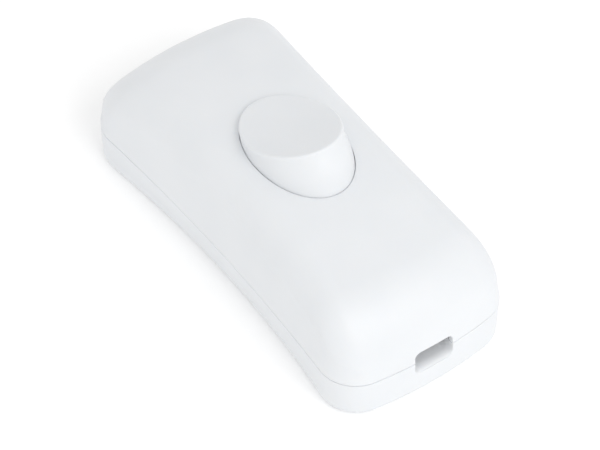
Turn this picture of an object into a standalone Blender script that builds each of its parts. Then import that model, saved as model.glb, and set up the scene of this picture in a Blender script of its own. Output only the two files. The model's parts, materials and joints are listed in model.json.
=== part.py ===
"""In-line rocker switch for a two-core flat cord, single pole, 2 A 250 V class.

Frame: +X along the cord towards the near end, +Y across, +Z up. The origin is the centre of the underside.
Two plastic shells meet at PARTING_Z. The rocker hangs in the upper shell on two moulded trunnions. Its
sprung plunger tips a brass bridge that sits on a cradle, and so opens or closes the live side. The neutral
runs straight through. At rest the rocker's near end is up and the contacts at +X are closed.
"""

import math

import bmesh
import bpy
from mathutils import Matrix, Vector

MM = 0.001
GAP = 0.3 * MM

# Outer form
LENGTH = 60.8 * MM
END_WIDTH = 28.0 * MM  # where the long sides' lines meet the ends; the corner fillets leave 27.2 mm over all
HEIGHT = 18.8 * MM
PARTING_Z = 6.5 * MM
WALL = 1.8 * MM
FLOOR = 2.0 * MM
CORNER = 5.3 * MM
END_BULGE = 1.6 * MM
WAIST_PARTING = 1.35 * MM
WAIST_TOP = 2.2 * MM
WAIST_BOTTOM = 2.5 * MM
CROWN_DROP = 4.0 * MM  # how much lower the top lies at the ends, along the length
CROSS_DROP = 0.8 * MM  # and at the long sides, across the width
UPPER_DRAFT = 0.13 * MM
END_ROUND = 8.3 * MM
END_DEPTH = 7.1 * MM
SIDE_ROUND = 4.4 * MM
SIDE_DEPTH = 4.5 * MM
SIDE_BLEND = 3  # how quickly the side rounding fades as the wall turns the corner
BOTTOM_ROUND = 1.5 * MM
SIDE_SHARES = (0.94, 0.87, 0.78, 0.6, 0.4, 0.2)  # where a quarter outline's long side is sampled
DOME_LANES = 6
LIP_HEIGHT = 1.1 * MM
LIP_INSET = 1.05 * MM

# Cord inlets
SLOT_WIDTH = 5.8 * MM
SLOT_HEIGHT = 3.4 * MM
SLOT_CORNER = 0.8 * MM
COLLAR_DEPTH = 3.1 * MM
COLLAR_HALF_WIDTH = 3.6 * MM

# Rocker
TILT = math.radians(18.5)
PIVOT_Z = HEIGHT - 2.0 * MM
ROCKER_A = 9.39 * MM
ROCKER_B = 6.3 * MM
ROCKER_TOP = 4.5 * MM
ROCKER_DISH = 8.0
ROCKER_SKIRT = 3.0 * MM
ROCKER_WALL = 1.1 * MM
ROCKER_RIM = 0.45 * MM
WALL_FADE = 1.5 * MM
APERTURE_A = 9.72 * MM
APERTURE_B = 6.7 * MM
APERTURE_FLARE = 1.0 * MM
TRUNNION_R = 0.75 * MM
TRUNNION_END = 7.9 * MM
BEARING_R = 0.9 * MM
STEM_R = 2.5 * MM
STEM_END = 6.0 * MM
BORE_R = 1.65 * MM
BORE_TOP = 1.6 * MM

# Plunger and its spring, along the stem, measured down from the pivot
PLUNGER_TIP = 9.0 * MM
PLUNGER_TIP_R = 1.0 * MM
PLUNGER_R = 1.35 * MM
PLUNGER_SHOULDER = 4.6 * MM
SPIGOT_R = 0.7 * MM
SPIGOT_TOP = 3.4 * MM
COIL_R = 1.15 * MM
COIL_WIRE_R = 0.18 * MM
COIL_TURNS = 6

# Contact bridge
BRIDGE_TILT = math.radians(12.0)
BRIDGE_SLOPE = math.radians(22.0)
BRIDGE_Z = 6.54 * MM
BRIDGE_KNEE_X = 4.0 * MM
BRIDGE_END_X = 6.9 * MM
BRIDGE_HALF_WIDTH = 2.1 * MM
BRIDGE_THICK = 0.85 * MM
NOTCH_HALF_LENGTH = 0.85 * MM
NOTCH_Y = 1.4 * MM
RIVET_X = 5.5 * MM
RIVET_HEAD_R = 1.4 * MM
RIVET_HEAD = 0.7 * MM
RIVET_SHANK_R = 0.55 * MM
RIVET_HOLE_R = 0.85 * MM
RIVET_GAP = 0.2 * MM

# Brass terminals
STRIP_Z = FLOOR + GAP
STRIP_THICK = 0.8 * MM
BLOCK_X = 15.5 * MM
BLOCK_Y = 4.65 * MM
BLOCK_SIZE = Vector((6.5, 5.5, 6.2)) * MM
WIRE_HOLE_R = 1.4 * MM
WIRE_HOLE_Z = 5.2 * MM
SCREW_HOLE_R = 1.5 * MM
CRADLE_HALF_THICK = 0.45 * MM
CRADLE_HALF_WIDTH = 2.3 * MM
EAR_Y = 1.7 * MM
EAR_TOP = 8.0 * MM
PAD_TOP = 5.2 * MM

# Cord clamps and fasteners
CLAMP_X = 21.1 * MM
CLAMP_HALF_X = 1.5 * MM
CLAMP_HALF_Y = 6.9 * MM
CLAMP_Z = 8.5 * MM
CLAMP_THICK = 1.6 * MM
CLAMP_SCREW_Y = 4.9 * MM
POST_R = 1.9 * MM
POST_TOP = CLAMP_Z - GAP
BOSS_X = 24.9 * MM
BOSS_Y = 8.8 * MM
BOSS_R = 2.4 * MM
BOSS_TOP = PARTING_Z + LIP_HEIGHT
HEAD_RECESS_R = 2.7 * MM
HEAD_RECESS_DEPTH = 1.6 * MM

ROUND_STEPS = 20
PART_NAME = "cord_rocker_switch"


# ---------------------------------------------------------------- scene helpers


def clear_scene():
    for scene_object in list(bpy.data.objects):
        bpy.data.objects.remove(scene_object)


def collection(name, parent=None):
    made = bpy.data.collections.new(name)
    (parent or bpy.context.scene.collection).children.link(made)
    return made


def material(name, colour, roughness, metallic=0.0):
    made = bpy.data.materials.new(name)
    made.use_nodes = True
    shader = made.node_tree.nodes["Principled BSDF"]
    shader.inputs["Base Color"].default_value = (*colour, 1.0)
    shader.inputs["Roughness"].default_value = roughness
    shader.inputs["Metallic"].default_value = metallic
    return made


def place(name, mesh, group, finish=None):
    """An object for the mesh in the group, shaded smooth across shallow edges."""
    made = bpy.data.objects.new(name, mesh)
    group.objects.link(made)
    mesh.shade_smooth()
    mesh.set_sharp_from_angle(angle=math.radians(35))
    if finish:
        mesh.materials.append(finish)
    if group is not PARTS:
        made.hide_render = True
        made.display_type = "WIRE"
    return made


def mesh_from(bm, name):
    bmesh.ops.recalc_face_normals(bm, faces=bm.faces)
    mesh = bpy.data.meshes.new(name)
    bm.to_mesh(mesh)
    bm.free()
    return mesh


def box(name, low, high, group, finish=None, bevel=0.0, bevel_axis=None):
    """A block between two corners. Its edges, or only those along bevel_axis, are rounded by bevel."""
    low, high = Vector(low), Vector(high)
    bm = bmesh.new()
    bmesh.ops.create_cube(bm, size=1.0)
    bmesh.ops.scale(bm, vec=high - low, verts=bm.verts)
    bmesh.ops.translate(bm, vec=(low + high) / 2, verts=bm.verts)
    if bevel:
        edges = [e for e in bm.edges if bevel_axis is None or along(e, bevel_axis)]
        bmesh.ops.bevel(bm, geom=edges, offset=bevel, segments=3, profile=0.5, affect="EDGES")
    return place(name, mesh_from(bm, name), group, finish)


def along(edge, axis):
    run = edge.verts[1].co - edge.verts[0].co
    return abs(run[axis]) > 0.99 * run.length


def cylinder(name, start, end, radius, group, finish=None, end_radius=None, steps=ROUND_STEPS):
    """A cylinder, or a cone when end_radius is given, from the point start to the point end."""
    start, end = Vector(start), Vector(end)
    bm = bmesh.new()
    bmesh.ops.create_cone(
        bm,
        cap_ends=True,
        segments=steps,
        radius1=radius,
        radius2=radius if end_radius is None else end_radius,
        depth=(end - start).length,
    )
    turn = (end - start).to_track_quat("Z", "Y").to_matrix().to_4x4()
    bmesh.ops.transform(bm, matrix=Matrix.Translation((start + end) / 2) @ turn, verts=bm.verts)
    return place(name, mesh_from(bm, name), group, finish)


def turned(name, profile, group, finish=None, steps=ROUND_STEPS):
    """A solid of revolution about Z. The profile is (radius, z) points from the top down."""
    mesh = bpy.data.meshes.new(name)
    points = [(radius, 0.0, z) for radius, z in profile]
    mesh.from_pydata(points, [(i, i + 1) for i in range(len(points) - 1)], [])
    made = place(name, mesh, group, finish)
    screw = made.modifiers.new("turn", "SCREW")
    screw.angle = 2 * math.pi
    screw.steps = steps
    screw.render_steps = steps
    screw.use_merge_vertices = True
    screw.merge_threshold = 1e-6
    screw.use_smooth_shade = True
    return made


def plate(name, outline, half_width, group, finish=None, normal="Y"):
    """A flat outline given half_width of thickness each way. The outline is (x, z) for normal Y, (y, z) for X."""
    curve = bpy.data.curves.new(name, "CURVE")
    curve.dimensions = "2D"
    curve.fill_mode = "BOTH"
    curve.extrude = half_width
    spline = curve.splines.new("POLY")
    spline.points.add(len(outline) - 1)
    for point, (across, up) in zip(spline.points, outline):
        point.co = (across, up, 0.0, 1.0)
    spline.use_cyclic_u = True
    stand = bpy.data.objects.new(name + "_outline", curve)
    CUTTERS.objects.link(stand)
    upright = Matrix.Rotation(math.pi / 2, 4, "X")
    turn = upright if normal == "Y" else Matrix.Rotation(math.pi / 2, 4, "Z") @ upright
    bpy.context.view_layer.update()
    evaluated = stand.evaluated_get(bpy.context.evaluated_depsgraph_get())
    mesh = bpy.data.meshes.new_from_object(evaluated)
    bpy.data.objects.remove(stand)
    bm = bmesh.new()
    bm.from_mesh(mesh)
    bmesh.ops.remove_doubles(bm, verts=bm.verts, dist=1e-7)
    bmesh.ops.transform(bm, matrix=turn, verts=bm.verts)
    return place(name, mesh_from(bm, name), group, finish)


def group_of(name, tools):
    """A collection of helper solids that one Boolean reads together."""
    made = collection(name, CUTTERS)
    for tool in tools:
        for old in tool.users_collection:
            old.objects.unlink(tool)
        made.objects.link(tool)
    return made


def combine(target, operation, name, tools):
    """Joins the helper solids to the target, or cuts them from it."""
    modifier = target.modifiers.new(name, "BOOLEAN")
    modifier.operation = operation
    modifier.solver = "EXACT"
    modifier.operand_type = "COLLECTION"
    modifier.collection = group_of(target.name + "_" + name, tools)
    return target


def pivot(name, location, angle):
    """An empty on a joint's axis, turned about Y to the rest position."""
    made = bpy.data.objects.new(name, None)
    PARTS.objects.link(made)
    made.location = location
    made.rotation_euler = (0.0, angle, 0.0)
    return made


def hang(parent, *pieces):
    for piece in pieces:
        piece.parent = parent


# ---------------------------------------------------------------- outline and lofts


def end_arc_radius(half_width):
    return (half_width**2 + END_BULGE**2) / (2 * END_BULGE)


def outline(half_length, half_width, waist, corner):
    """Plan outline, anticlockwise from the +X tip. The long sides are hollow arcs that pull in by waist,
    the ends are arcs that stand out by END_BULGE, and fillets of radius corner join them."""
    corner_x = half_length - END_BULGE
    side_r = (corner_x**2 + waist**2) / (2 * waist)
    side_y = half_width - waist + side_r
    end_r = end_arc_radius(half_width)
    end_x = half_length - end_r
    to_side, to_end = side_r + corner, end_r - corner
    apart = math.hypot(end_x, side_y)
    share = (to_side**2 - to_end**2 + apart**2) / (2 * apart)
    height = math.sqrt(to_side**2 - share**2)
    fillet_x = (share * end_x + height * side_y) / apart
    fillet_y = side_y - (share * side_y - height * end_x) / apart
    side_tangent = math.atan2(side_y - fillet_y, -fillet_x)
    end_tangent = math.atan2(fillet_y, fillet_x - end_x)
    quarter = []
    for step in range(4):
        angle = end_tangent * step / 4
        quarter.append((end_x + end_r * math.cos(angle), end_r * math.sin(angle)))
    for step in range(6):
        angle = end_tangent + (side_tangent - end_tangent) * step / 5
        quarter.append((fillet_x + corner * math.cos(angle), fillet_y + corner * math.sin(angle)))
    tangent_x = fillet_x * side_r / to_side
    for share in SIDE_SHARES:
        x = tangent_x * share
        quarter.append((x, side_y - math.sqrt(side_r**2 - x**2)))
    middle = [(0.0, half_width - waist)]
    back = [(-x, y) for x, y in reversed(quarter)]
    upper = quarter + middle + back
    return upper + [(x, -y) for x, y in reversed(upper[1:-1])]


def cap(bm, row, lanes=1, height_of=None):
    """Closes a ring with rungs between mirrored points. With more lanes than one, each rung has points
    between its ends at height_of(x, y), so the cap may be a dome."""
    half = len(row) // 2
    rungs = []
    for i in range(half + 1):
        left, right = row[i], row[-i]
        between = []
        for step in range(1, lanes):
            if left is right:
                between.append(left)
                continue
            x, y, _ = left.co.lerp(right.co, step / lanes)
            between.append(bm.verts.new((x, y, height_of(x, y))))
        rungs.append([left, *between, right])
    for rung, following in zip(rungs, rungs[1:]):
        for j in range(lanes):
            corners = [rung[j], following[j], following[j + 1], rung[j + 1]]
            bm.faces.new(list(dict.fromkeys(corners)))


def loft(name, rings, group, finish=None, dome=None):
    """A closed solid through rings of matching points. dome gives the last cap's height at a plan position,
    if that cap is to be domed both ways."""
    bm = bmesh.new()
    rows = [[bm.verts.new(point) for point in ring] for ring in rings]
    count = len(rows[0])
    for lower, upper in zip(rows, rows[1:]):
        for i in range(count):
            j = (i + 1) % count
            bm.faces.new((lower[i], lower[j], upper[j], upper[i]))
    cap(bm, rows[0])
    cap(bm, rows[-1], DOME_LANES if dome else 1, dome)
    return place(name, mesh_from(bm, name), group, finish)


def upper_top(inset):
    """The height of the upper shell's top over a plan position, drawn in by inset. It is crowned both ways
    and rolls down over the ends along a quarter ellipse."""
    half_length, half_width = LENGTH / 2 - inset - UPPER_DRAFT, END_WIDTH / 2 - inset - UPPER_DRAFT
    end_r = end_arc_radius(half_width)

    def height(x, y):
        from_end = half_length - end_r + math.sqrt(end_r**2 - y**2) - abs(x)
        across = min(max(1 - from_end / (END_ROUND - inset), 0.0), 1.0)
        rolled = (END_DEPTH - inset) * (1 - math.sqrt(1 - across**2))
        crown = CROWN_DROP * (2 * x / LENGTH) ** 2 + CROSS_DROP * (2 * y / END_WIDTH) ** 2
        return HEIGHT - inset - crown - rolled

    return height


def sideways(plan):
    """How far the wall faces sideways at each outline point: 0 at the ends, nearly 1 on the long sides."""
    shares = []
    for i, (x, y) in enumerate(plan):
        next_x, next_y = plan[(i + 1) % len(plan)]
        last_x, last_y = plan[i - 1]
        run = math.hypot(next_x - last_x, next_y - last_y)
        shares.append((abs(next_x - last_x) / run) ** SIDE_BLEND)
    return shares


def upper_rings(inset, start_z, round_steps):
    """Rings of the upper shell's form, drawn in by inset: a drafted wall, then the side rounding."""
    rings = []
    height = upper_top(inset)
    for share in (0.0, 0.5, 1.0):
        narrow = inset + UPPER_DRAFT * share
        waist = WAIST_PARTING + (WAIST_TOP - WAIST_PARTING) * share
        plan = outline(LENGTH / 2 - narrow, END_WIDTH / 2 - narrow, waist, CORNER - inset)
        ring = []
        for (x, y), side in zip(plan, sideways(plan)):
            shoulder = height(x, y) - side * (SIDE_DEPTH - inset)
            ring.append((x, y, start_z + (shoulder - start_z) * share))
        rings.append(ring)
    shares = sideways(plan)
    for step in range(1, round_steps + 1):
        angle = math.pi / 2 * step / round_steps
        inwards = (SIDE_ROUND - inset) * (1 - math.cos(angle))
        drop = (SIDE_DEPTH - inset) * (1 - math.sin(angle))
        narrow = inset + UPPER_DRAFT + inwards
        plan = outline(LENGTH / 2 - narrow, END_WIDTH / 2 - narrow, WAIST_TOP, CORNER - inset - inwards)
        rings.append([(x, y, height(x, y) - side * drop) for (x, y), side in zip(plan, shares)])
    return rings


def lower_plan(z, inset):
    share = 1 - z / PARTING_Z
    waist = WAIST_PARTING + (WAIST_BOTTOM - WAIST_PARTING) * max(share, 0.0)
    return outline(LENGTH / 2 - inset, END_WIDTH / 2 - inset, waist, CORNER - inset)


def lower_rings(inset, levels):
    return [[(x, y, z) for x, y in lower_plan(z, inset)] for z in levels]


def tray_rings():
    """The lower shell's outer form: a rounded bottom edge under a wall whose waist deepens downwards."""
    rings = []
    for step in range(4):
        angle = math.pi / 2 * step / 4
        z = BOTTOM_ROUND * (1 - math.cos(angle))
        inset = BOTTOM_ROUND * (1 - math.sin(angle))
        rings.append([(x, y, z) for x, y in lower_plan(z, inset)])
    return rings + lower_rings(0.0, (BOTTOM_ROUND, PARTING_Z / 2, PARTING_Z - GAP / 2))


# ---------------------------------------------------------------- shells


def cord_slots(label):
    """The flat inlets at both ends, halved by the parting plane."""
    cutters = []
    for end in (-1, 1):
        inner, outer = end * (LENGTH / 2 - 2.5 * WALL), end * (LENGTH / 2 + WALL)
        cutters.append(
            box(
                f"{label}_slot_{end}",
                (min(inner, outer), -SLOT_WIDTH / 2, PARTING_Z - SLOT_HEIGHT / 2),
                (max(inner, outer), SLOT_WIDTH / 2, PARTING_Z + SLOT_HEIGHT / 2),
                CUTTERS,
                bevel=SLOT_CORNER,
                bevel_axis=0,
            )
        )
    return cutters


def boss_places():
    """Housing screws stand at two opposite corners."""
    return {"far": (-BOSS_X, BOSS_Y), "near": (BOSS_X, -BOSS_Y)}


def upper_shell(finish):
    shell = loft("upper_shell", upper_rings(0.0, PARTING_Z + GAP / 2, 6), PARTS, finish, upper_top(0.0))
    cavity = loft("upper_cavity", upper_rings(WALL, PARTING_Z - MM, 4), CUTTERS, dome=upper_top(WALL))
    roof = HEIGHT + MM
    kept = []
    for side in (-1, 1):
        inner, outer = 6.95 * MM, 8.15 * MM
        low_y, high_y = sorted((side * inner, side * outer))
        kept.append(box(f"bearing_{side}", (-3 * MM, low_y, 13.4 * MM), (3 * MM, high_y, roof), CUTTERS))
    for end in (-1, 1):
        low_x, high_x = sorted((end * 12.6 * MM, end * 13.4 * MM))
        kept.append(box(f"hold_down_{end}", (low_x, -7.2 * MM, 8.8 * MM), (high_x, 7.2 * MM, roof), CUTTERS))
        low_x, high_x = sorted((end * 13 * MM, end * 18.6 * MM))
        kept.append(box(f"divider_{end}", (low_x, -0.5 * MM, 8.8 * MM), (high_x, 0.5 * MM, roof), CUTTERS))
        low_x, high_x = sorted((end * 24.2 * MM, end * 25.0 * MM))
        kept.append(box(f"cord_rib_{end}", (low_x, -2.6 * MM, 8.5 * MM), (high_x, 2.6 * MM, roof), CUTTERS))
    for end, (x, y) in boss_places().items():
        kept.append(cylinder(f"upper_boss_{end}", (x, y, 0), (x, y, roof), BOSS_R, CUTTERS))
    combine(cavity, "DIFFERENCE", "kept", kept)
    cuts = [cavity, *cord_slots("upper")]
    cuts.append(loft("lip_recess", lower_rings(LIP_INSET - GAP, (PARTING_Z - MM, BOSS_TOP + GAP)), CUTTERS))
    cuts.append(aperture())
    for side in (-1, 1):
        start, end = Vector((0, side * 6.6 * MM, PIVOT_Z)), Vector((0, side * 8.5 * MM, PIVOT_Z))
        cuts.append(cylinder(f"bearing_hole_{side}", start, end, BEARING_R, CUTTERS, steps=28))
        low_y, high_y = sorted((start.y, end.y))
        snap = 0.6 * MM
        cuts.append(box(f"snap_{side}", (-snap, low_y, 13 * MM), (snap, high_y, PIVOT_Z), CUTTERS))
    for end, (x, y) in boss_places().items():
        cuts.append(cylinder(f"pilot_{end}", (x, y, 0), (x, y, 11.8 * MM), 1.45 * MM, CUTTERS))
    return combine(shell, "DIFFERENCE", "cuts", cuts)


def aperture():
    """The oval opening for the rocker, wider inside than at the surface."""
    rings = []
    for z, flare in ((HEIGHT - 4 * MM, APERTURE_FLARE), (HEIGHT, 0.0), (HEIGHT + 2 * MM, 0.0)):
        rings.append(ellipse(APERTURE_A + flare, APERTURE_B + flare, z))
    return loft("aperture", rings, CUTTERS)


def ellipse(a, b, z, steps=56):
    ring = []
    for i in range(steps):
        angle = 2 * math.pi * i / steps
        on_axis = i % (steps // 2) == 0
        ring.append((a * math.cos(angle), 0.0 if on_axis else b * math.sin(angle), z))
    return ring


def lower_shell(finish):
    shell = loft("lower_shell", tray_rings(), PARTS, finish)
    lip = loft("lip", lower_rings(LIP_INSET, (PARTING_Z - 2 * MM, BOSS_TOP)), CUTTERS)
    combine(shell, "UNION", "lip", [lip])
    hollow = loft("lower_cavity", lower_rings(WALL, (FLOOR, PARTING_Z, PARTING_Z + 3 * MM)), CUTTERS)
    combine(shell, "DIFFERENCE", "hollow", [hollow])
    base = FLOOR / 2
    ribs = []
    for end in (-1, 1):
        low_x, high_x = sorted((end * 11.4 * MM, end * 18.8 * MM))
        ribs.append(box(f"partition_{end}", (low_x, -1.2 * MM, base), (high_x, 1.2 * MM, 8.5 * MM), CUTTERS))
        low_x, high_x = sorted((end * (LENGTH / 2 - COLLAR_DEPTH), end * (LENGTH / 2 - WALL / 2)))
        low, high = (low_x, -COLLAR_HALF_WIDTH, base), (high_x, COLLAR_HALF_WIDTH, PARTING_Z - GAP / 2)
        ribs.append(box(f"collar_{end}", low, high, CUTTERS))
        for side in (-1, 1):
            low_y, high_y = sorted((side * 7.75 * MM, side * 8.55 * MM))
            low_x, high_x = sorted((end * 12.5 * MM, end * 18.5 * MM))
            ribs.append(
                box(f"pocket_{end}_{side}", (low_x, low_y, base), (high_x, high_y, 6.0 * MM), CUTTERS)
            )
            x, y = end * CLAMP_X, side * CLAMP_SCREW_Y
            ribs.append(cylinder(f"post_{end}_{side}", (x, y, base), (x, y, POST_TOP), POST_R, CUTTERS))
        for along_x in (20.2 * MM, 21.6 * MM):
            low_x, high_x = sorted((end * along_x, end * (along_x + 0.7 * MM)))
            ribs.append(
                box(f"saddle_{end}_{along_x:.4f}", (low_x, -2.8 * MM, base), (high_x, 2.8 * MM, 4.5 * MM), CUTTERS)
            )
    ribs.append(box("off_stop", (-7 * MM, -1.5 * MM, base), (-5 * MM, 1.5 * MM, off_stop_top()), CUTTERS))
    for x, y in boss_places().values():
        ribs.append(cylinder(f"lower_boss_{x:.4f}", (x, y, base), (x, y, BOSS_TOP), BOSS_R, CUTTERS))
    combine(shell, "UNION", "ribs", ribs)
    cuts = cord_slots("lower")
    for end, (x, y) in boss_places().items():
        cuts.append(cylinder(f"clearance_{end}", (x, y, -MM), (x, y, BOSS_TOP + MM), 1.5 * MM, CUTTERS))
        cuts.append(
            cylinder(f"recess_{end}", (x, y, -MM), (x, y, HEAD_RECESS_DEPTH), HEAD_RECESS_R, CUTTERS, steps=28)
        )
    for end in (-1, 1):
        for side in (-1, 1):
            x, y = end * CLAMP_X, side * CLAMP_SCREW_Y
            cuts.append(
                cylinder(f"post_hole_{end}_{side}", (x, y, 3 * MM), (x, y, POST_TOP + MM), 1.15 * MM, CUTTERS)
            )
    return combine(shell, "DIFFERENCE", "cuts", cuts)


# ---------------------------------------------------------------- rocker group


def wall_reach(across, y, z):
    """How far the rocker's wall stands from the pivot's axis at the height z above it, in the slice that
    passes the opening's rim at (across, y). The wall is an arc about the pivot wherever the tilt takes it past
    the rim, so the gap stays even, and it is upright above and below. The swing fades out near the middle."""
    rim = upper_top(0.0)(across, y) - PIVOT_Z
    swing = rim * math.sin(TILT) * across / math.hypot(across, WALL_FADE)
    inner, outer = across * math.cos(TILT) - swing, across * math.cos(TILT) + swing
    return min(max(math.sqrt(max(across**2 + rim**2 - z**2, 0.0)), inner), outer)


def rocker_ring(height_of, trim=0.0, inset=0.0):
    """A ring round the rocker. height_of gives the height above the pivot for a plan position x."""
    ring = []
    for across, y, _ in ellipse(ROCKER_A, ROCKER_B, 0.0):
        x = abs(across)
        for _ in range(8):
            z = height_of(x)
            x = wall_reach(abs(across), y, z)
        x = math.copysign(x * (1 - inset / ROCKER_A), across)
        ring.append((x, y * (1 - inset / ROCKER_B), z - trim))
    return ring


def rocker_top(x):
    return ROCKER_TOP + ROCKER_DISH * x * x


def rocker(finish, parent):
    rings = []
    for share in (0.0, 0.25, 0.5, 0.75, 1.0):
        rings.append(
            rocker_ring(lambda x, s=share: -ROCKER_SKIRT + s * (rocker_top(x) - ROCKER_RIM + ROCKER_SKIRT))
        )
    for step in (1, 2, 3):
        angle = math.pi / 2 * step / 3
        inset = ROCKER_RIM * (1 - math.cos(angle))
        trim = ROCKER_RIM * (1 - math.sin(angle))
        rings.append(rocker_ring(rocker_top, trim, inset))
    body = loft("rocker", rings, PARTS, finish)
    hollow = []
    for share in (0.0, 0.5, 1.0):
        low, thick = -ROCKER_SKIRT - MM, ROCKER_WALL
        hollow.append(
            rocker_ring(lambda x, s=share: low + s * (rocker_top(x) - thick - low), inset=ROCKER_WALL)
        )
    inside = loft("rocker_hollow", hollow, CUTTERS)
    joined = [cylinder("stem", (0, 0, -STEM_END), (0, 0, ROCKER_TOP - 0.6 * MM), STEM_R, CUTTERS)]
    for side in (-1, 1):
        root = side * (ROCKER_B - ROCKER_WALL / 2)
        joined.append(
            cylinder(f"trunnion_{side}", (0, root, 0), (0, side * TRUNNION_END, 0), TRUNNION_R, CUTTERS)
        )
    bore = cylinder("bore", (0, 0, -STEM_END - MM), (0, 0, BORE_TOP), BORE_R, CUTTERS, steps=28)
    hang(parent, body, inside, bore, *joined)
    combine(body, "DIFFERENCE", "hollow", [inside])
    combine(body, "UNION", "joined", joined)
    combine(body, "DIFFERENCE", "bore", [bore])
    return body


def plunger(finish, parent):
    """Nylon pin: a spigot inside the spring, a body in the stem's bore and a round nose on the bridge."""
    profile = [
        (0.0, -SPIGOT_TOP),
        (SPIGOT_R, -SPIGOT_TOP),
        (SPIGOT_R, -PLUNGER_SHOULDER),
        (PLUNGER_R, -PLUNGER_SHOULDER),
        (PLUNGER_R, -PLUNGER_TIP + 2 * PLUNGER_TIP_R),
    ]
    for step in range(6):
        angle = math.pi / 2 * step / 5
        profile.append(
            (PLUNGER_TIP_R * math.cos(angle), -PLUNGER_TIP + PLUNGER_TIP_R * (1 - math.sin(angle)))
        )
    profile[-1] = (0.0, -PLUNGER_TIP)
    made = turned("plunger", profile, PARTS, finish)
    hang(parent, made)
    return made


def rocker_spring(finish, parent):
    """Compression coil between the plunger's shoulder and the end of the bore."""
    low = -PLUNGER_SHOULDER + GAP / 2 + COIL_WIRE_R
    high = BORE_TOP - GAP / 2 - COIL_WIRE_R
    per_turn = 10
    count = COIL_TURNS * per_turn + 1
    curve = bpy.data.curves.new("rocker_spring", "CURVE")
    curve.dimensions = "3D"
    curve.bevel_depth = COIL_WIRE_R
    curve.bevel_resolution = 2
    curve.use_fill_caps = True
    curve.materials.append(finish)
    spline = curve.splines.new("POLY")
    spline.points.add(count - 1)
    for i, point in enumerate(spline.points):
        angle = 2 * math.pi * i / per_turn
        z = low + (high - low) * i / (count - 1)
        point.co = (COIL_R * math.cos(angle), COIL_R * math.sin(angle), z, 1.0)
    made = bpy.data.objects.new("rocker_spring", curve)
    PARTS.objects.link(made)
    hang(parent, made)
    return made


# ---------------------------------------------------------------- contact bridge


def bridge_underside():
    """Half of the bridge's lower line in its own frame: a valley arm, then a tab level when closed."""
    knee_z = BRIDGE_KNEE_X * math.tan(BRIDGE_SLOPE)
    end_z = knee_z + (BRIDGE_END_X - BRIDGE_KNEE_X) * math.tan(BRIDGE_TILT)
    return [(BRIDGE_KNEE_X, knee_z), (BRIDGE_END_X, end_z)]


def tab_z(x):
    (knee_x, knee_z), (end_x, end_z) = bridge_underside()
    return knee_z + (end_z - knee_z) * (x - knee_x) / (end_x - knee_x)


def off_stop_top():
    """The far tab rests here when the near tab is up."""
    knee_x, knee_z = bridge_underside()[0]
    return BRIDGE_Z + knee_z * math.cos(BRIDGE_TILT) - knee_x * math.sin(BRIDGE_TILT) - GAP


def contact_bridge(finish, parent):
    (knee_x, knee_z), (end_x, end_z) = bridge_underside()
    lower = [(-end_x, end_z), (-knee_x, knee_z), (0.0, 0.0), (knee_x, knee_z), (end_x, end_z)]
    upper = [(x, z + BRIDGE_THICK) for x, z in reversed(lower)]
    bridge = plate("contact_bridge", lower + upper, BRIDGE_HALF_WIDTH, PARTS, finish)
    cuts = []
    for side in (-1, 1):
        low_y, high_y = sorted((side * NOTCH_Y, side * 2 * BRIDGE_HALF_WIDTH))
        cuts.append(
            box(
                f"notch_{side}",
                (-NOTCH_HALF_LENGTH, low_y, -MM),
                (NOTCH_HALF_LENGTH, high_y, 2 * MM),
                CUTTERS,
            )
        )
    hole = rivet_axis()
    cuts.append(cylinder("rivet_hole", hole[0], hole[1], RIVET_HOLE_R, CUTTERS))
    hang(parent, bridge, *cuts)
    return combine(bridge, "DIFFERENCE", "cuts", cuts)


def rivet_axis():
    """Ends of the moving rivet's hole through the tab, upright when the contacts are closed."""
    foot = Vector((RIVET_X, 0.0, tab_z(RIVET_X)))
    up = Vector((-math.sin(BRIDGE_TILT), 0.0, math.cos(BRIDGE_TILT)))
    return foot - up * 2 * MM, foot + up * 3 * MM


def rivet_profile(grip, head):
    """A contact rivet standing on z = 0, its domed head below, its shank through grip and its upset end above."""
    dome = [(RIVET_HEAD_R, -0.35 * head), (0.7 * RIVET_HEAD_R, -0.85 * head), (0.0, -head)]
    upset = grip + 0.35 * MM
    return [
        (0.0, upset),
        (0.95 * MM, upset),
        (1.05 * MM, grip),
        (RIVET_SHANK_R, grip),
        (RIVET_SHANK_R, 0.0),
        (RIVET_HEAD_R, 0.0),
        *dome,
    ]


def moving_contact(finish, parent):
    profile = rivet_profile(BRIDGE_THICK + 2 * RIVET_GAP, RIVET_HEAD)
    made = turned("moving_contact", profile, PARTS, finish)
    up = Vector((-math.sin(BRIDGE_TILT), 0.0, math.cos(BRIDGE_TILT)))
    hang(parent, made)
    made.location = Vector((RIVET_X, 0.0, tab_z(RIVET_X))) - up * RIVET_GAP
    made.rotation_euler = (0.0, -BRIDGE_TILT, 0.0)
    return made


def closed_rivet_x():
    """Where the moving rivet stands along X when the contacts are closed."""
    return RIVET_X * math.cos(BRIDGE_TILT) + tab_z(RIVET_X) * math.sin(BRIDGE_TILT)


def fixed_contact(finish):
    profile = rivet_profile(STRIP_THICK + 2 * RIVET_GAP, RIVET_HEAD)
    made = turned("fixed_contact", profile, PARTS, finish)
    made.location = (closed_rivet_x(), 0.0, PAD_TOP + RIVET_GAP)
    made.rotation_euler = (math.pi, 0.0, 0.0)
    return made


# ---------------------------------------------------------------- brass terminals


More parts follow.
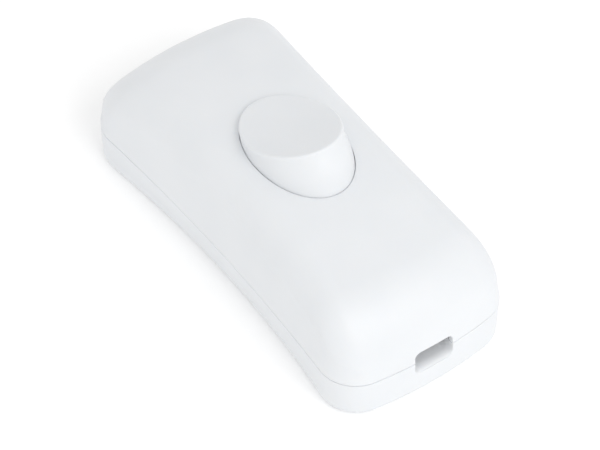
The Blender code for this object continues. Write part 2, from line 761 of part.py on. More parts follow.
def terminal_block(label, end, side):
    """A screw terminal: a block, and the cutters for its wire hole and its screw hole."""
    centre = Vector((end * BLOCK_X, side * BLOCK_Y, STRIP_Z + BLOCK_SIZE.z / 2))
    block = box(label + "_block", centre - BLOCK_SIZE / 2, centre + BLOCK_SIZE / 2, CUTTERS, bevel=0.3 * MM)
    reach = BLOCK_SIZE.x
    wire = cylinder(
        label + "_wire_hole",
        (centre.x - reach, centre.y, WIRE_HOLE_Z),
        (centre.x + reach, centre.y, WIRE_HOLE_Z),
        WIRE_HOLE_R,
        CUTTERS,
    )
    top = STRIP_Z + BLOCK_SIZE.z + MM
    screw = cylinder(
        label + "_screw_hole", (centre.x, centre.y, WIRE_HOLE_Z), (centre.x, centre.y, top), SCREW_HOLE_R, CUTTERS
    )
    return block, [wire, screw]


def strip(name, low_x, high_x, low_y, high_y, group, finish=None):
    """A flat length of brass lying just above the floor."""
    return box(name, (low_x, low_y, STRIP_Z), (high_x, high_y, STRIP_Z + STRIP_THICK), group, finish)


def live_in_terminal(finish):
    """Common terminal: its strip runs to the middle and turns up into the cradle that the bridge rocks on."""
    body = strip("live_in_terminal", -13 * MM, 1.5 * MM, 3.0 * MM, 5.6 * MM, PARTS, finish)
    block, holes = terminal_block("live_in", -1, 1)
    foot = strip("live_in_foot", -1.5 * MM, 1.4 * MM, -2.6 * MM, 5.0 * MM, CUTTERS)
    edge_z, inner = BRIDGE_Z - GAP, EAR_Y
    half = [(CRADLE_HALF_WIDTH, STRIP_Z + STRIP_THICK / 2), (CRADLE_HALF_WIDTH, EAR_TOP), (inner, EAR_TOP)]
    half.append((inner, edge_z))
    cradle_outline = half + [(-y, z) for y, z in reversed(half)]
    cradle = plate("cradle", cradle_outline, CRADLE_HALF_THICK, CUTTERS, normal="X")
    combine(body, "UNION", "joined", [block, foot, cradle])
    return combine(body, "DIFFERENCE", "holes", holes)


def live_out_terminal(finish):
    """Switched terminal: its strip turns up into a pad under the moving contact."""
    body = strip("live_out_terminal", 8.2 * MM, 13 * MM, 3.0 * MM, 5.6 * MM, PARTS, finish)
    block, holes = terminal_block("live_out", 1, 1)
    riser_x, pad_x = 8.6 * MM, 4.4 * MM
    foot = strip("live_out_foot", riser_x - STRIP_THICK, 10.4 * MM, -2.2 * MM, 5.0 * MM, CUTTERS)
    low_x, mid_z = riser_x - STRIP_THICK, STRIP_Z + STRIP_THICK / 2
    riser = box("riser", (low_x, -2.0 * MM, mid_z), (riser_x, 2.0 * MM, PAD_TOP), CUTTERS)
    pad_high = (riser_x - STRIP_THICK / 2, 1.9 * MM, PAD_TOP - 1e-5)
    pad = box("pad", (pad_x, -1.9 * MM, PAD_TOP - STRIP_THICK), pad_high, CUTTERS)
    combine(body, "UNION", "joined", [block, foot, riser, pad])
    x = closed_rivet_x()
    hole = cylinder("pad_hole", (x, 0, PAD_TOP - 2 * MM), (x, 0, PAD_TOP + MM), RIVET_HOLE_R, CUTTERS)
    return combine(body, "DIFFERENCE", "holes", [*holes, hole])


def neutral_bar(finish):
    """The unswitched side: one strip with a screw block at each end."""
    body = strip("neutral_bar", -13 * MM, 13 * MM, -7.1 * MM, -4.4 * MM, PARTS, finish)
    blocks, holes = [], []
    for label, end in (("neutral_far", -1), ("neutral_near", 1)):
        block, cutters = terminal_block(label, end, -1)
        blocks.append(block)
        holes.extend(cutters)
    combine(body, "UNION", "joined", blocks)
    return combine(body, "DIFFERENCE", "holes", holes)


# ---------------------------------------------------------------- fasteners and clamps


def slotted_screw(name, head_at, head_r, head_h, shank_r, length, finish, down=True):
    """A pan-head screw whose head's underside is at head_at. Down means that its point is below its head."""
    profile = [
        (0.0, head_h),
        (0.75 * head_r, head_h),
        (head_r, 0.55 * head_h),
        (head_r, 0.0),
        (shank_r, 0.0),
        (shank_r, -length + shank_r),
        (0.35 * shank_r, -length),
        (0.0, -length),
    ]
    made = turned(name, profile, PARTS, finish, steps=16)
    half_slot, depth = 0.2 * head_r, 0.5 * head_h
    slot = box(
        name + "_slot",
        (-2 * head_r, -half_slot, head_h - depth),
        (2 * head_r, half_slot, head_h + MM),
        CUTTERS,
    )
    combine(made, "DIFFERENCE", "slot", [slot])
    for piece in (made, slot):
        piece.location = head_at
        piece.rotation_euler = (0.0 if down else math.pi, 0.0, 0.0)
    return made


def terminal_screws(finish):
    head_z = STRIP_Z + BLOCK_SIZE.z + GAP
    places = {"live_in": (-1, 1), "live_out": (1, 1), "neutral_in": (-1, -1), "neutral_out": (1, -1)}
    for label, (end, side) in places.items():
        head_at = (end * BLOCK_X, side * BLOCK_Y, head_z)
        slotted_screw("terminal_screw_" + label, head_at, 1.75 * MM, 1.5 * MM, 1.2 * MM, 2.5 * MM, finish)


def cord_clamps(plastic, steel):
    """A saddle bar over the cord at each end, held down by two screws."""
    for label, end in (("far", -1), ("near", 1)):
        x = end * CLAMP_X
        bar = box(
            "cord_clamp_" + label,
            (x - CLAMP_HALF_X, -CLAMP_HALF_Y, CLAMP_Z),
            (x + CLAMP_HALF_X, CLAMP_HALF_Y, CLAMP_Z + CLAMP_THICK),
            PARTS,
            plastic,
            bevel=0.4 * MM,
            bevel_axis=2,
        )
        ridge = box(
            f"clamp_ridge_{label}",
            (x - 0.5 * MM, -2.4 * MM, CLAMP_Z - 0.9 * MM),
            (x + 0.5 * MM, 2.4 * MM, CLAMP_Z + CLAMP_THICK / 2),
            CUTTERS,
        )
        combine(bar, "UNION", "ridge", [ridge])
        holes = []
        for side_label, side in (("left", 1), ("right", -1)):
            y = side * CLAMP_SCREW_Y
            top = CLAMP_Z + CLAMP_THICK
            holes.append(
                cylinder(f"clamp_hole_{label}_{side}", (x, y, CLAMP_Z - MM), (x, y, top + MM), 1.2 * MM, CUTTERS)
            )
            name = f"cord_clamp_screw_{label}_{side_label}"
            slotted_screw(name, (x, y, top + GAP), 1.8 * MM, 1.3 * MM, 0.85 * MM, 6.0 * MM, steel)
        combine(bar, "DIFFERENCE", "holes", holes)


def housing_screws(finish):
    """Two screws from beneath, their heads sunk in the lower shell, their threads in the upper shell's bosses."""
    for label, (x, y) in boss_places().items():
        head_at = (x, y, HEAD_RECESS_DEPTH - GAP)
        slotted_screw("housing_screw_" + label, head_at, 2.35 * MM, 1.0 * MM, 1.15 * MM, 9.6 * MM, finish, False)


# ---------------------------------------------------------------- assembly


clear_scene()
PARTS = collection(PART_NAME)
CUTTERS = collection("cutters")

WHITE = material("white_plastic", (0.86, 0.87, 0.88), 0.38)
NYLON = material("natural_nylon", (0.80, 0.79, 0.74), 0.5)
BRASS = material("brass", (0.78, 0.60, 0.28), 0.3, 1.0)
SILVER = material("contact_silver", (0.85, 0.85, 0.84), 0.25, 1.0)
STEEL = material("zinc_steel", (0.66, 0.67, 0.68), 0.35, 1.0)
SPRING_STEEL = material("spring_steel", (0.45, 0.45, 0.46), 0.3, 1.0)

upper_shell(WHITE)
lower_shell(WHITE)

ROCKER_PIVOT = pivot("rocker_pivot", (0.0, 0.0, PIVOT_Z), -TILT)
rocker(WHITE, ROCKER_PIVOT)
rocker_spring(SPRING_STEEL, ROCKER_PIVOT)
plunger(NYLON, ROCKER_PIVOT)

BRIDGE_PIVOT = pivot("bridge_pivot", (0.0, 0.0, BRIDGE_Z), BRIDGE_TILT)
contact_bridge(BRASS, BRIDGE_PIVOT)
moving_contact(SILVER, BRIDGE_PIVOT)

live_in_terminal(BRASS)
live_out_terminal(BRASS)
fixed_contact(SILVER)
neutral_bar(BRASS)
terminal_screws(STEEL)
cord_clamps(NYLON, STEEL)
housing_screws(STEEL)
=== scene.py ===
"""Looks of the in-line cord switch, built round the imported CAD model.

The shells and the rocker are rebuilt as fine surfaces with rounded edges and a tight seam. The screws get
threads, the spring gets closed ends, and each piece gets a node material. The stage is a pale floor under
soft light. Lengths are in metres, in the CAD model's frame.
"""

import json
import math

import bmesh
import bpy
from mathutils import Matrix, Vector


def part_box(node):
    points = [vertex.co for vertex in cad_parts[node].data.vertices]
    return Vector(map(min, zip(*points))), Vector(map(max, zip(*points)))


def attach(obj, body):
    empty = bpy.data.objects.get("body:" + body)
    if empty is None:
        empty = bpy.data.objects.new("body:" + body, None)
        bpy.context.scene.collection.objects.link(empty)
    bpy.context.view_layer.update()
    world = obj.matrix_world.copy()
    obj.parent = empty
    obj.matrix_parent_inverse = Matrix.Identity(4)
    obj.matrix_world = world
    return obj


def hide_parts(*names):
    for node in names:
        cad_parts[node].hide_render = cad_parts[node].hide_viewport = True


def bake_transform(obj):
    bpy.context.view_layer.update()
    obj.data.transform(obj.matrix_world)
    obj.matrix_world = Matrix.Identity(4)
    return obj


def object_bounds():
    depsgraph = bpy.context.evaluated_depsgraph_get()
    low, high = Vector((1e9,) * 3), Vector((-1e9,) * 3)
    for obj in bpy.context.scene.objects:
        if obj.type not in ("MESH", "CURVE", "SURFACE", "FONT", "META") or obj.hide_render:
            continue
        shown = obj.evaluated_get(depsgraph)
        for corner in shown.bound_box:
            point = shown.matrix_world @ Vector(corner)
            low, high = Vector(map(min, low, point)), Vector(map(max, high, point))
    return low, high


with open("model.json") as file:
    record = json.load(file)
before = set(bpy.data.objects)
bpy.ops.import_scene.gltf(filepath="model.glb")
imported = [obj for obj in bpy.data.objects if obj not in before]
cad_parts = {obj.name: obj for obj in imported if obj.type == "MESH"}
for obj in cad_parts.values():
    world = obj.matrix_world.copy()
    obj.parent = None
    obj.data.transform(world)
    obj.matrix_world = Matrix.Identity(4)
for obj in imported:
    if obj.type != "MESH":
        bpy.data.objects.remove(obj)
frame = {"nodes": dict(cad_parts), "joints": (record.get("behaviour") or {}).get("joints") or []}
CAD_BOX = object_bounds()
MM = 0.001

# ---------------------------------------------------------------- sizes that come from the frame

JOINTS = {joint["name"]: joint for joint in frame["joints"]}
TRAY_LOW, TRAY_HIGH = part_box("lower_shell")
LENGTH = TRAY_HIGH.x - TRAY_LOW.x
PIVOT = Vector(JOINTS["rocker_tilt"]["pos_m"])
PIVOT_DEPTH = 2.0 * MM
HEIGHT = PIVOT.z + PIVOT_DEPTH  # of the crown
TILT = math.radians(JOINTS["rocker_tilt"]["range_deg"][1] / 2)

# ---------------------------------------------------------------- the CAD model's own shape values

END_WIDTH = 28.0 * MM  # where the long sides' lines meet the ends
PARTING_Z = 6.5 * MM
WALL = 1.8 * MM
FLOOR = 2.0 * MM
CORNER = 5.3 * MM
END_BULGE = 1.6 * MM
WAIST_PARTING = 1.35 * MM
WAIST_TOP = 2.2 * MM
WAIST_BOTTOM = 2.5 * MM
CROWN_DROP = 4.0 * MM  # how much lower the top lies at the ends, along the length
CROSS_DROP = 0.8 * MM  # and at the long sides, across the width
UPPER_DRAFT = 0.13 * MM
END_ROUND = 8.3 * MM
END_DEPTH = 7.1 * MM
SIDE_ROUND = 4.4 * MM
SIDE_DEPTH = 4.5 * MM
SIDE_BLEND = 3  # how quickly the side rounding fades as the wall turns the corner
BOTTOM_ROUND = 1.5 * MM
LIP_TOP = 7.6 * MM
LIP_INSET = 1.05 * MM
LIP_GAP = 0.3 * MM

SLOT_WIDTH = 5.8 * MM
SLOT_HEIGHT = 3.4 * MM
SLOT_CORNER = 0.8 * MM
COLLAR_DEPTH = 3.1 * MM
COLLAR_HALF_WIDTH = 3.6 * MM

ROCKER_DISH = 8.0
ROCKER_SKIRT = 3.0 * MM
ROCKER_WALL = 1.1 * MM
WALL_FADE = 1.5 * MM
TRUNNION_R = 0.75 * MM
TRUNNION_END = 7.9 * MM
BEARING_R = 0.9 * MM
STEM_R = 2.5 * MM
STEM_END = 6.0 * MM
BORE_R = 1.65 * MM
BORE_TOP = 1.6 * MM

PLUNGER_TIP = 9.0 * MM
PLUNGER_TIP_R = 1.0 * MM
PLUNGER_R = 1.35 * MM
PLUNGER_SHOULDER = 4.6 * MM
SPIGOT_R = 0.7 * MM
SPIGOT_TOP = 3.4 * MM
COIL_R = 1.15 * MM
COIL_WIRE_R = 0.18 * MM

CLAMP_X = 21.1 * MM
CLAMP_SCREW_Y = 4.9 * MM
POST_R = 1.9 * MM
POST_TOP = 8.2 * MM
BOSS_X = 24.9 * MM
BOSS_Y = 8.8 * MM
BOSS_R = 2.4 * MM
HEAD_RECESS_R = 2.7 * MM
HEAD_RECESS_DEPTH = 1.6 * MM
PILOT_R = 1.45 * MM
PILOT_TOP = 11.8 * MM
CLEARANCE_R = 1.5 * MM
POST_HOLE_R = 1.15 * MM
POST_HOLE_LOW = 3.0 * MM

# Ribs in the shells. Those at both ends are given by near x, far x, half width and free edge's height.
HOLD_DOWN = (12.6 * MM, 13.4 * MM, 7.2 * MM, 8.8 * MM)
DIVIDER = (13.0 * MM, 18.6 * MM, 0.5 * MM, 8.8 * MM)
CORD_RIB = (24.2 * MM, 25.0 * MM, 2.6 * MM, 8.5 * MM)
PARTITION = (11.4 * MM, 18.8 * MM, 1.2 * MM, 8.5 * MM)
SADDLES = ((20.2 * MM, 20.9 * MM, 2.8 * MM, 4.5 * MM), (21.6 * MM, 22.3 * MM, 2.8 * MM, 4.5 * MM))
POCKET_X = (12.5 * MM, 18.5 * MM)
POCKET_Y = (7.75 * MM, 8.55 * MM)
POCKET_TOP = 6.0 * MM
OFF_STOP_X = (-7.0 * MM, -5.0 * MM)
OFF_STOP_HALF_WIDTH = 1.5 * MM
OFF_STOP_TOP = 6.99 * MM
BEARING_HALF_LENGTH = 3.0 * MM
BEARING_Y = (6.95 * MM, 8.15 * MM)
BEARING_LOW = 13.4 * MM
BEARING_HOLE_Y = (6.6 * MM, 8.5 * MM)
SNAP_HALF_LENGTH = 0.6 * MM
SNAP_LOW = 13.0 * MM

# ---------------------------------------------------------------- what only the fine surfaces have

SEAM_MIDDLE = 0.03 * MM  # the shells press together at the waist and stand a little apart at the ends
SEAM_END = 0.13 * MM
SEAM_EDGE = 0.14 * MM
ROCKER_A = 9.34 * MM  # the rocker and its opening fit closer than the CAD model's clearances allow
ROCKER_B = 6.36 * MM
ROCKER_TOP = 4.56 * MM
ROCKER_RIM = 0.3 * MM
WALL_DRAFT = 1.0  # the rocker's wall draws in by this share per metre of height above the pivot
STEM_TOP = ROCKER_TOP - 0.6 * MM  # within the thickness of the rocker's top
APERTURE_A = 9.42 * MM
APERTURE_B = 6.44 * MM
APERTURE_EDGE = 0.06 * MM
FLARE_A = 1.4 * MM  # the opening's half length and half width grow by these down to FLARE_DEPTH
FLARE_B = 0.8 * MM
FLARE_DEPTH = 4.0 * MM  # under the crown
SLOT_EDGE = 0.16 * MM
SLOT_LIP_LENGTH = 1.3 * MM  # the inlet's lower side rolls down to the outside over this length
SLOT_LIP = 0.45 * MM
COIL_TURNS = 7
TURNED_EDGE = 0.12 * MM
END_FLAT = 0.05 * MM  # radius of the small flat face that closes a turned piece
PLAN_STEPS = (12, 16, 28)  # a quarter outline's steps: end arc, corner fillet, long side
INNER_STEPS = (4, 6, 9)
TOP_STEPS = 24
INNER_TOP_STEPS = 8
DOME_LANES = 16
INNER_LANES = 6
ROUND_STEPS = 48
OVAL_STEPS = 144
SHARP_FROM = math.radians(38)
CUT_SWEEP = math.radians(80)  # a cutter's rounded edge stops before it runs level with the surface
DOME_SWEEP = math.radians(88)  # a turned dome stops before it meets its axis


# ---------------------------------------------------------------- meshes


def mesh_object(name, bm):
    bmesh.ops.recalc_face_normals(bm, faces=bm.faces)
    mesh = bpy.data.meshes.new(name)
    bm.to_mesh(mesh)
    bm.free()
    made = bpy.data.objects.new(name, mesh)
    bpy.context.scene.collection.objects.link(made)
    return made


def settle(piece):
    """Applies a piece's modifiers."""
    bpy.context.view_layer.update()
    evaluated = piece.evaluated_get(bpy.context.evaluated_depsgraph_get())
    mesh = bpy.data.meshes.new_from_object(evaluated)
    piece.modifiers.clear()
    piece.data = mesh


def combine(piece, operation, tools):
    """Joins the tools to the piece, or cuts them from it, and removes them."""
    group = bpy.data.collections.new(piece.name + "_tools")
    for tool in tools:
        group.objects.link(tool)
    modifier = piece.modifiers.new("combine", "BOOLEAN")
    modifier.operation = operation
    modifier.solver = "EXACT"
    modifier.operand_type = "COLLECTION"
    modifier.collection = group
    settle(piece)
    for tool in tools:
        bpy.data.objects.remove(tool)
    bpy.data.collections.remove(group)
    return piece


def shade(piece):
    piece.data.shade_smooth()
    piece.data.set_sharp_from_angle(angle=SHARP_FROM)
    weighted = piece.modifiers.new("face_weighted", "WEIGHTED_NORMAL")
    weighted.keep_sharp = True
    return piece


def block(low, high):
    low, high = Vector(low), Vector(high)
    bm = bmesh.new()
    bmesh.ops.create_cube(bm, size=1.0)
    bmesh.ops.scale(bm, vec=high - low, verts=bm.verts)
    bmesh.ops.translate(bm, vec=(low + high) / 2, verts=bm.verts)
    return mesh_object("block", bm)


def side_block(ends_x, ends_y, ends_z):
    """A block between two x, two y and two z, each pair in any order."""
    return block(*zip(sorted(ends_x), sorted(ends_y), sorted(ends_z)))


def end_rib(end, rib, root_z):
    """A rib across the middle line at one end of the switch. It stands between root_z and its free edge."""
    near_x, far_x, half_width, free_z = rib
    return side_block((end * near_x, end * far_x), (-half_width, half_width), (root_z, free_z))


def rod(start, end, radius):
    start, end = Vector(start), Vector(end)
    bm = bmesh.new()
    bmesh.ops.create_cone(
        bm, cap_ends=True, segments=ROUND_STEPS, radius1=radius, radius2=radius, depth=(end - start).length
    )
    turn = (end - start).to_track_quat("Z", "Y").to_matrix().to_4x4()
    bmesh.ops.transform(bm, matrix=Matrix.Translation((start + end) / 2) @ turn, verts=bm.verts)
    return mesh_object("rod", bm)


def cap(bm, row, lanes=1, height_of=None):
    """Closes a ring with rungs between mirrored points. With more lanes than one, each rung has points
    between its ends at height_of(x, y), so the cap may be a dome."""
    half = len(row) // 2
    rungs = []
    for i in range(half + 1):
        left, right = row[i], row[-i]
        between = []
        for step in range(1, lanes):
            if left is right:
                between.append(left)
                continue
            x, y, _ = left.co.lerp(right.co, step / lanes)
            between.append(bm.verts.new((x, y, height_of(x, y))))
        rungs.append([left, *between, right])
    for rung, following in zip(rungs, rungs[1:]):
        for j in range(lanes):
            corners = [rung[j], following[j], following[j + 1], rung[j + 1]]
            bm.faces.new(list(dict.fromkeys(corners)))


def loft(name, rings, flat_caps=False, dome=None, lanes=1):
    """A closed solid through rings of matching points. dome gives the last cap's height at a plan position,
    if that cap is to be domed both ways. Flat caps are one face each."""
    bm = bmesh.new()
    rows = [[bm.verts.new(point) for point in ring] for ring in rings]
    count = len(rows[0])
    for lower, upper in zip(rows, rows[1:]):
        for i in range(count):
            j = (i + 1) % count
            bm.faces.new((lower[i], lower[j], upper[j], upper[i]))
    if flat_caps:
        bm.faces.new(rows[0])
        bm.faces.new(rows[-1])
    else:
        cap(bm, rows[0])
        cap(bm, rows[-1], lanes, dome)
    return mesh_object(name, bm)


def circle(radius, z, steps=ROUND_STEPS):
    angles = [2 * math.pi * i / steps for i in range(steps)]
    return [(radius * math.cos(angle), radius * math.sin(angle), z) for angle in angles]


def turned(name, profile):
    """A solid of revolution about Z through (radius, z) points, with a small flat face at each end."""
    return loft(name, [circle(radius, z) for radius, z in profile], flat_caps=True)


# ---------------------------------------------------------------- outlines


def end_arc_radius(half_width):
    return (half_width**2 + END_BULGE**2) / (2 * END_BULGE)


def outline(half_length, half_width, waist, corner, steps=PLAN_STEPS):
    """Plan outline, anticlockwise from the +X tip. The long sides are hollow arcs that pull in by waist,
    the ends are arcs that stand out by END_BULGE, and fillets of radius corner join them."""
    end_steps, fillet_steps, side_steps = steps
    corner_x = half_length - END_BULGE
    side_r = (corner_x**2 + waist**2) / (2 * waist)
    side_y = half_width - waist + side_r
    end_r = end_arc_radius(half_width)
    end_x = half_length - end_r
    to_side, to_end = side_r + corner, end_r - corner
    apart = math.hypot(end_x, side_y)
    share = (to_side**2 - to_end**2 + apart**2) / (2 * apart)
    height = math.sqrt(to_side**2 - share**2)
    fillet_x = (share * end_x + height * side_y) / apart
    fillet_y = side_y - (share * side_y - height * end_x) / apart
    side_tangent = math.atan2(side_y - fillet_y, -fillet_x)
    end_tangent = math.atan2(fillet_y, fillet_x - end_x)
    quarter = []
    for step in range(end_steps):
        angle = end_tangent * step / end_steps
        quarter.append((end_x + end_r * math.cos(angle), end_r * math.sin(angle)))
    for step in range(fillet_steps + 1):
        angle = end_tangent + (side_tangent - end_tangent) * step / fillet_steps
        quarter.append((fillet_x + corner * math.cos(angle), fillet_y + corner * math.sin(angle)))
    tangent_x = fillet_x * side_r / to_side
    for step in range(1, side_steps):
        x = tangent_x * (1 - (step / side_steps) ** 1.5)
        quarter.append((x, side_y - math.sqrt(side_r**2 - x**2)))
    middle = [(0.0, half_width - waist)]
    back = [(-x, y) for x, y in reversed(quarter)]
    upper = quarter + middle + back
    return upper + [(x, -y) for x, y in reversed(upper[1:-1])]


def oval(a, b):
    ring = []
    for i in range(OVAL_STEPS):
        angle = 2 * math.pi * i / OVAL_STEPS
        ring.append((a * math.cos(angle), 0.0 if i % (OVAL_STEPS // 2) == 0 else b * math.sin(angle)))
    return ring


def rounded_slot(grow, lip=0.0):
    """The cord inlet's outline across the cord, as (y, z), drawn out by grow. Its lower side drops by lip."""
    corner = SLOT_CORNER + grow
    half_y, half_z = SLOT_WIDTH / 2 + grow - corner, SLOT_HEIGHT / 2 + grow - corner
    ring = []
    for side, up, first in ((1, 1, 0), (-1, 1, 1), (-1, -1, 2), (1, -1, 3)):
        for step in range(9):
            angle = math.pi / 2 * (first + step / 8)
            y = side * half_y + corner * math.cos(angle)
            z = PARTING_Z + up * half_z + corner * math.sin(angle)
            ring.append((y, z - lip * min(max((PARTING_Z - z) / half_z, 0.0), 1.0)))
    return ring


def upper_top(inset):
    """The height of the upper shell's top over a plan position, drawn in by inset. It is crowned both ways
    and rolls down over the ends along a quarter ellipse."""
    half_length, half_width = LENGTH / 2 - inset - UPPER_DRAFT, END_WIDTH / 2 - inset - UPPER_DRAFT
    end_r = end_arc_radius(half_width)

    def height(x, y):
        from_end = half_length - end_r + math.sqrt(end_r**2 - y**2) - abs(x)
        across = min(max(1 - from_end / (END_ROUND - inset), 0.0), 1.0)
        rolled = (END_DEPTH - inset) * (1 - math.sqrt(1 - across**2))
        crown = CROWN_DROP * (2 * x / LENGTH) ** 2 + CROSS_DROP * (2 * y / END_WIDTH) ** 2
        return HEIGHT - inset - crown - rolled

    return height


def sideways(plan):
    """How far the wall faces sideways at each outline point: 0 at the ends, nearly 1 on the long sides."""
    shares = []
    for i in range(len(plan)):
        next_x, next_y = plan[(i + 1) % len(plan)]
        last_x, last_y = plan[i - 1]
        run = math.hypot(next_x - last_x, next_y - last_y)
        shares.append((abs(next_x - last_x) / run) ** SIDE_BLEND)
    return shares


def seam_half_gap(x):
    return (SEAM_MIDDLE + (SEAM_END - SEAM_MIDDLE) * min(abs(2 * x / LENGTH), 1.0) ** 2) / 2


# ---------------------------------------------------------------- shells


def upper_wall_plan(inset, share, steps):
    waist = WAIST_PARTING + (WAIST_TOP - WAIST_PARTING) * share
    narrow = inset + UPPER_DRAFT * share
    return outline(LENGTH / 2 - narrow, END_WIDTH / 2 - narrow, waist, CORNER - min(inset, WALL), steps)


def upper_rings(inset, steps, round_steps, seam=True):
    """Rings of the upper shell's form, drawn in by inset: a drafted wall, then the side rounding. With seam,
    the form starts with a rounded edge just above the parting plane, else a little below the plane."""
    rings = []
    height = upper_top(inset)
    if seam:
        for step in range(6):
            angle = math.pi / 2 * step / 5
            plan = upper_wall_plan(inset + SEAM_EDGE * (1 - math.sin(angle)), 0.0, steps)
            lift = SEAM_EDGE * (1 - math.cos(angle))
            rings.append([(x, y, PARTING_Z + seam_half_gap(x) + lift) for x, y in plan])
    start_z = PARTING_Z + SEAM_EDGE if seam else PARTING_Z - MM
    for share in (0.0, 0.15, 0.3, 0.5, 0.7, 0.85, 1.0):
        if seam and share == 0.0:
            continue
        plan = upper_wall_plan(inset, share, steps)
        ring = []
        for (x, y), side in zip(plan, sideways(plan)):
            shoulder = height(x, y) - side * (SIDE_DEPTH - inset)
            ring.append((x, y, start_z + (shoulder - start_z) * share))
        rings.append(ring)
    shares = sideways(plan)
    for step in range(1, round_steps + 1):
        angle = math.pi / 2 * step / round_steps
        inwards = (SIDE_ROUND - inset) * (1 - math.cos(angle))
        drop = (SIDE_DEPTH - inset) * (1 - math.sin(angle))
        narrow = inset + UPPER_DRAFT + inwards
        corner = CORNER - inset - inwards
        plan = outline(LENGTH / 2 - narrow, END_WIDTH / 2 - narrow, WAIST_TOP, corner, steps)
        rings.append([(x, y, height(x, y) - side * drop) for (x, y), side in zip(plan, shares)])
    return rings


def lower_plan(z, inset, steps):
    share = max(1 - z / PARTING_Z, 0.0)
    waist = WAIST_PARTING + (WAIST_BOTTOM - WAIST_PARTING) * share
    return outline(LENGTH / 2 - inset, END_WIDTH / 2 - inset, waist, CORNER - inset, steps)


def lower_rings(inset, levels, steps=INNER_STEPS):
    return [[(x, y, z) for x, y in lower_plan(z, inset, steps)] for z in levels]


def tray_rings():
    """The lower shell's outer form: a rounded bottom edge, a wall whose waist deepens downwards, and a
    rounded edge just under the parting plane."""
    rings = []
    for step in range(10):
        angle = math.pi / 2 * step / 10
        z = BOTTOM_ROUND * (1 - math.cos(angle))
        inset = BOTTOM_ROUND * (1 - math.sin(angle))
        rings.append([(x, y, z) for x, y in lower_plan(z, inset, PLAN_STEPS)])
    rings += lower_rings(0.0, (BOTTOM_ROUND, PARTING_Z / 2, 0.7 * PARTING_Z), PLAN_STEPS)
    for step in range(6):
        angle = math.pi / 2 * step / 5
        plan = lower_plan(PARTING_Z, SEAM_EDGE * (1 - math.cos(angle)), PLAN_STEPS)
        drop = SEAM_EDGE * (1 - math.sin(angle))
        rings.append([(x, y, PARTING_Z - seam_half_gap(x) - drop) for x, y in plan])
    return rings


def cord_slots():
    """Cutters for the flat inlets at both ends, with softened mouths."""
    cutters = []
    for end in (-1, 1):
        mouth_x = LENGTH / 2 - 0.05 * MM
        profile = [(LENGTH / 2 - 2.5 * WALL, 0.0, 0.0)]
        for step in range(9):
            angle = CUT_SWEEP * step / 8
            roll = 1 - math.cos(angle)
            x = mouth_x - SLOT_LIP_LENGTH * (1 - math.sin(angle))
            profile.append((x, SLOT_EDGE * roll, SLOT_LIP * roll))
        profile.append((LENGTH / 2 + WALL, profile[-1][1], profile[-1][2]))
        rings = [[(end * x, y, z) for y, z in rounded_slot(grow, lip)] for x, grow, lip in profile]
        cutters.append(loft("slot", rings, flat_caps=True))
    return cutters


def aperture():
    """Cutter for the oval opening, wider inside and with a rounded edge that follows the crown."""
    top = upper_top(0.0)
    rings = [[(x, y, HEIGHT - FLARE_DEPTH) for x, y in oval(APERTURE_A + FLARE_A, APERTURE_B + FLARE_B)]]
    for step in range(7):
        angle = CUT_SWEEP * step / 6
        grow = APERTURE_EDGE * (1 - math.cos(angle))
        drop = APERTURE_EDGE * (1 - math.sin(angle))
        rings.append([(x, y, top(x, y) - drop) for x, y in oval(APERTURE_A + grow, APERTURE_B + grow)])
    rings.append([(x, y, z + 3 * MM) for x, y, z in rings[-1]])
    return loft("aperture", rings)


def boss_places():
    """Housing screws stand at two opposite corners."""
    return [(-BOSS_X, BOSS_Y), (BOSS_X, -BOSS_Y)]


def upper_cavity():
    """The hollow of the upper shell, less the ribs, bearings and bosses that stay standing in it."""
    rings = upper_rings(WALL, INNER_STEPS, INNER_TOP_STEPS, seam=False)
    cavity = loft("cavity", rings, dome=upper_top(WALL), lanes=INNER_LANES)
    roof = HEIGHT + MM
    kept = []
    for side in (-1, 1):
        across = [side * y for y in BEARING_Y]
        kept.append(side_block((-BEARING_HALF_LENGTH, BEARING_HALF_LENGTH), across, (BEARING_LOW, roof)))
    for end in (-1, 1):
        kept += [end_rib(end, rib, roof) for rib in (HOLD_DOWN, DIVIDER, CORD_RIB)]
    for x, y in boss_places():
        kept.append(rod((x, y, 0), (x, y, roof), BOSS_R))
    return combine(cavity, "DIFFERENCE", kept)


def upper_shell(finish):
    rings = upper_rings(0.0, PLAN_STEPS, TOP_STEPS)
    shell = loft("upper_shell_skin", rings, dome=upper_top(0.0), lanes=DOME_LANES)
    cuts = [upper_cavity(), aperture(), *cord_slots()]
    cuts.append(loft("lip_recess", lower_rings(LIP_INSET - LIP_GAP, (PARTING_Z - MM, LIP_TOP + LIP_GAP))))
    for side in (-1, 1):
        near_y, far_y = [side * y for y in BEARING_HOLE_Y]
        cuts.append(rod((0, near_y, PIVOT.z), (0, far_y, PIVOT.z), BEARING_R))
        cuts.append(side_block((-SNAP_HALF_LENGTH, SNAP_HALF_LENGTH), (near_y, far_y), (SNAP_LOW, PIVOT.z)))
    for x, y in boss_places():
        cuts.append(rod((x, y, 0), (x, y, PILOT_TOP), PILOT_R))
    return dress(shade(combine(shell, "DIFFERENCE", cuts)), "housing", "white_plastic", finish, "upper_shell")


